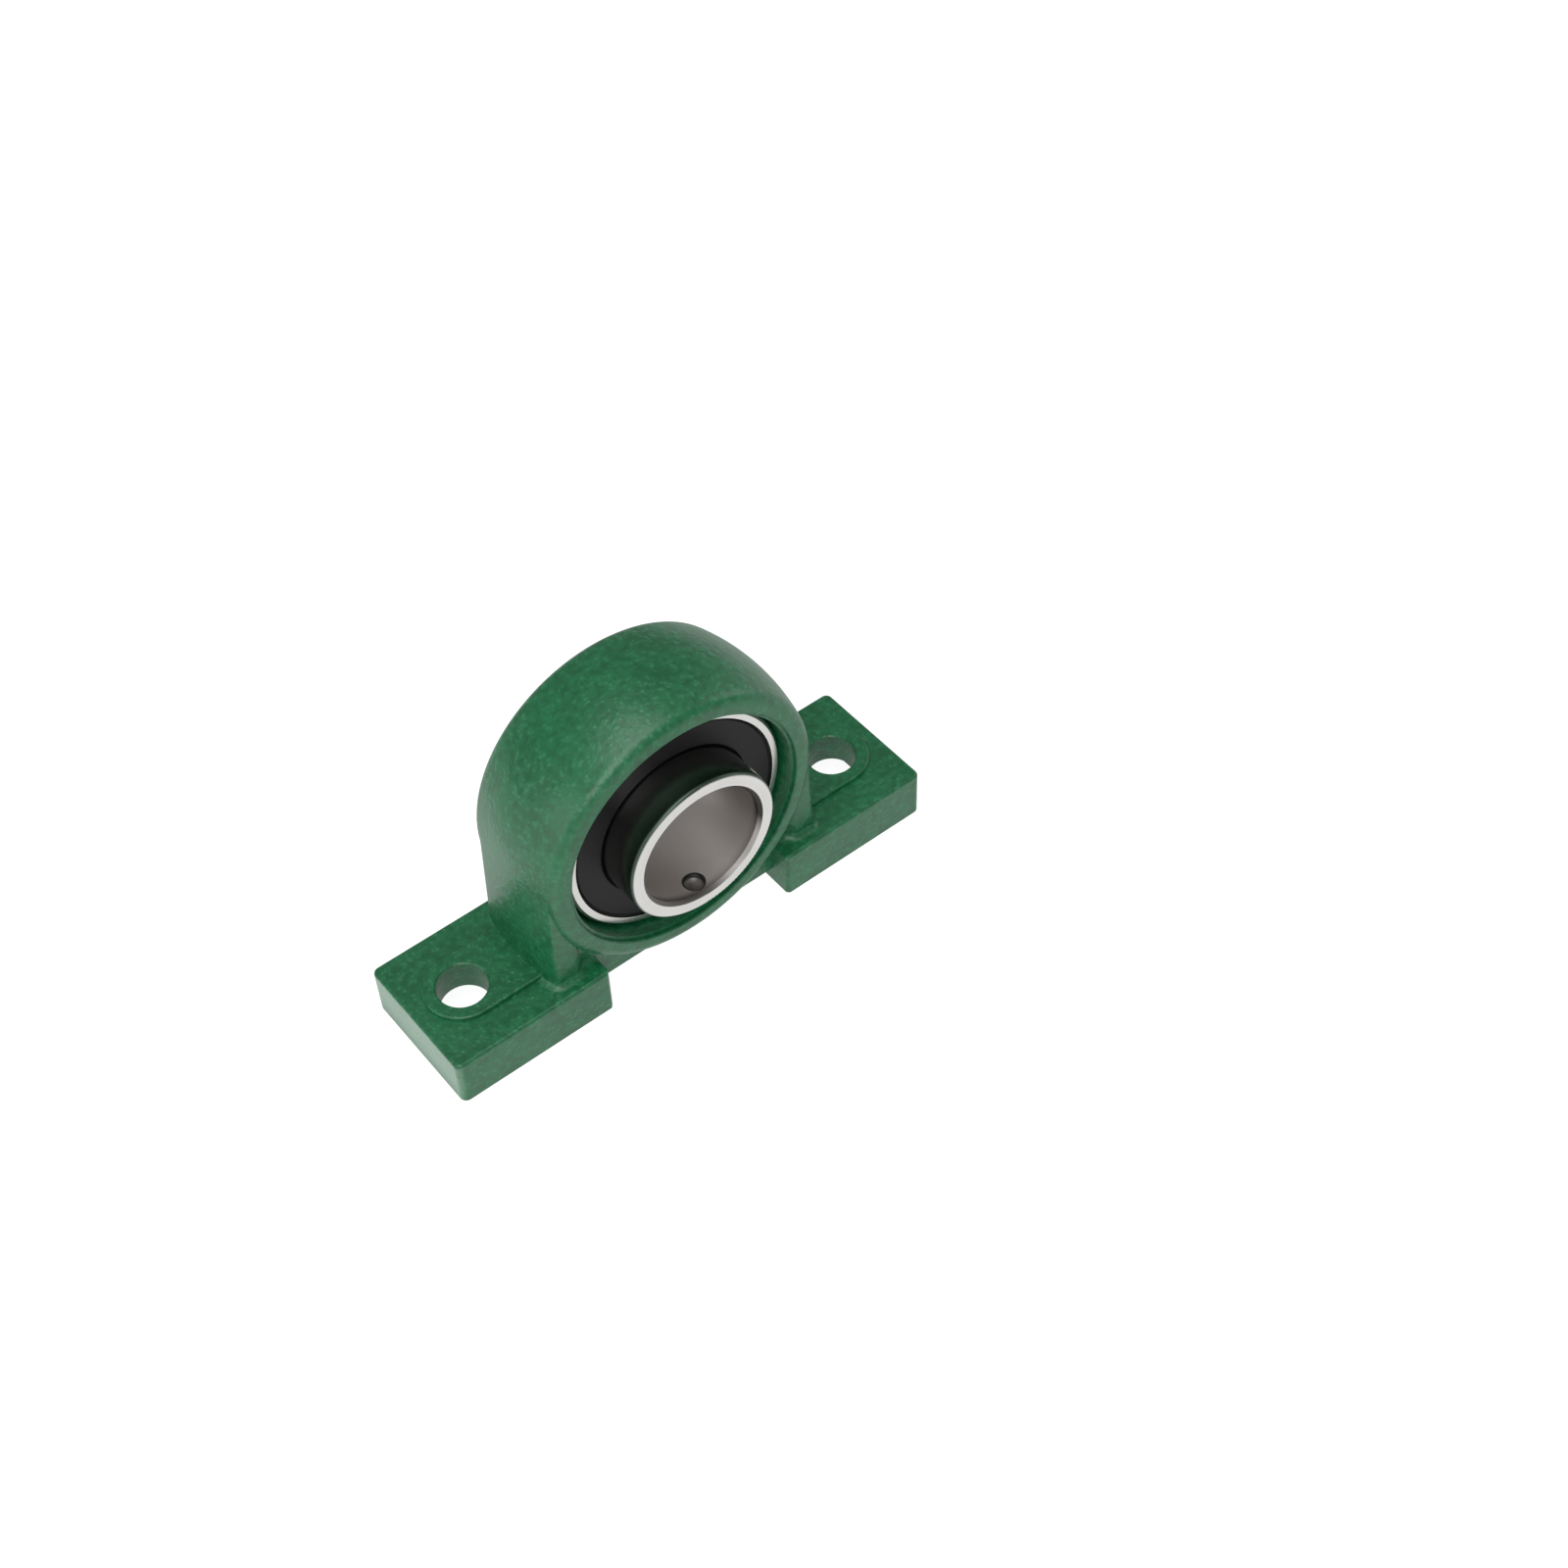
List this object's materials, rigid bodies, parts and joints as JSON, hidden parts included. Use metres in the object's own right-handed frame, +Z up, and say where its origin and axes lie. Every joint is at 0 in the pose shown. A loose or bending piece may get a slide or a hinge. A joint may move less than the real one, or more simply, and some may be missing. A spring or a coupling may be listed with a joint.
{
  "type": "pillow block bearing unit",
  "caption": "Green cast pillow block housing on two bolt-down feet, holding a self-aligning ball bearing insert with black seals and set screws that grip a shaft.",
  "frame": {"origin": "middle of the bounding box seen from above, in the plane that the feet stand on; the bolt pattern and the bearing are centred 2.925 mm behind it, at +Y", "axes": "+X along the feet, +Y along the shaft away from the set screw end, +Z up"},
  "size_m": [0.192, 0.0566, 0.1136],
  "materials": {
    "green_cast_iron": "dark green enamel sprayed on rough cast iron, semi-gloss with a fine orange-peel grain",
    "bearing_steel": "ground and polished bearing steel",
    "ball_steel": "mirror polished bearing steel",
    "cage_steel": "pressed sheet steel, dull",
    "seal_rubber": "black moulded rubber on a steel disc, satin",
    "screw_steel": "blackened steel"
  },
  "bodies": {
    "housing": {"housing": "green_cast_iron"},
    "outer_race": {"outer_ring": "bearing_steel", "front_seal": "seal_rubber", "rear_seal": "seal_rubber"},
    "inner_race": {"inner_ring": "bearing_steel", "set_screw_1": "screw_steel", "set_screw_2": "screw_steel"},
    "cage": {"cage_front": "cage_steel", "cage_rear": "cage_steel", "cage_rivets": "cage_steel"},
    "rolling_ball_1": {"ball_1": "ball_steel"},
    "rolling_ball_2": {"ball_2": "ball_steel"},
    "rolling_ball_3": {"ball_3": "ball_steel"},
    "rolling_ball_4": {"ball_4": "ball_steel"},
    "rolling_ball_5": {"ball_5": "ball_steel"},
    "rolling_ball_6": {"ball_6": "ball_steel"},
    "rolling_ball_7": {"ball_7": "ball_steel"},
    "rolling_ball_8": {"ball_8": "ball_steel"},
    "rolling_ball_9": {"ball_9": "ball_steel"}
  },
  "joints": [
    {"name": "self_align_tilt", "type": "hinge", "parent": "housing", "child": "outer_race", "pos_m": [0, 0.00293, 0.05918], "axis": [1, 0, 0], "range_deg": [-3, 3]},
    {"name": "shaft_spin", "type": "hinge", "parent": "outer_race", "child": "inner_race", "pos_m": [0, 0.00293, 0.05918], "axis": [0, 1, 0], "continuous": true},
    {"name": "cage_orbit", "type": "hinge", "parent": "outer_race", "child": "cage", "pos_m": [0, 0.00293, 0.05918], "axis": [0, 1, 0], "continuous": true},
    {"name": "ball_1_roll", "type": "hinge", "parent": "cage", "child": "rolling_ball_1", "pos_m": [0, 0.00293, 0.09138], "axis": [0, 1, 0], "continuous": true},
    {"name": "ball_2_roll", "type": "hinge", "parent": "cage", "child": "rolling_ball_2", "pos_m": [-0.0207, 0.00293, 0.08385], "axis": [0, 1, 0], "continuous": true},
    {"name": "ball_3_roll", "type": "hinge", "parent": "cage", "child": "rolling_ball_3", "pos_m": [-0.03171, 0.00293, 0.06477], "axis": [0, 1, 0], "continuous": true},
    {"name": "ball_4_roll", "type": "hinge", "parent": "cage", "child": "rolling_ball_4", "pos_m": [-0.02789, 0.00293, 0.04308], "axis": [0, 1, 0], "continuous": true},
    {"name": "ball_5_roll", "type": "hinge", "parent": "cage", "child": "rolling_ball_5", "pos_m": [-0.01101, 0.00293, 0.02892], "axis": [0, 1, 0], "continuous": true},
    {"name": "ball_6_roll", "type": "hinge", "parent": "cage", "child": "rolling_ball_6", "pos_m": [0.01101, 0.00293, 0.02892], "axis": [0, 1, 0], "continuous": true},
    {"name": "ball_7_roll", "type": "hinge", "parent": "cage", "child": "rolling_ball_7", "pos_m": [0.02789, 0.00293, 0.04308], "axis": [0, 1, 0], "continuous": true},
    {"name": "ball_8_roll", "type": "hinge", "parent": "cage", "child": "rolling_ball_8", "pos_m": [0.03171, 0.00293, 0.06477], "axis": [0, 1, 0], "continuous": true},
    {"name": "ball_9_roll", "type": "hinge", "parent": "cage", "child": "rolling_ball_9", "pos_m": [0.0207, 0.00293, 0.08385], "axis": [0, 1, 0], "continuous": true}
  ],
  "couplings": [
    {"joint": "cage_orbit", "follows": "shaft_spin", "ratio": 0.4014},
    {"joint": "ball_1_roll", "follows": "shaft_spin", "ratio": -2.4368},
    {"joint": "ball_2_roll", "follows": "shaft_spin", "ratio": -2.4368},
    {"joint": "ball_3_roll", "follows": "shaft_spin", "ratio": -2.4368},
    {"joint": "ball_4_roll", "follows": "shaft_spin", "ratio": -2.4368},
    {"joint": "ball_5_roll", "follows": "shaft_spin", "ratio": -2.4368},
    {"joint": "ball_6_roll", "follows": "shaft_spin", "ratio": -2.4368},
    {"joint": "ball_7_roll", "follows": "shaft_spin", "ratio": -2.4368},
    {"joint": "ball_8_roll", "follows": "shaft_spin", "ratio": -2.4368},
    {"joint": "ball_9_roll", "follows": "shaft_spin", "ratio": -2.4368}
  ]
}
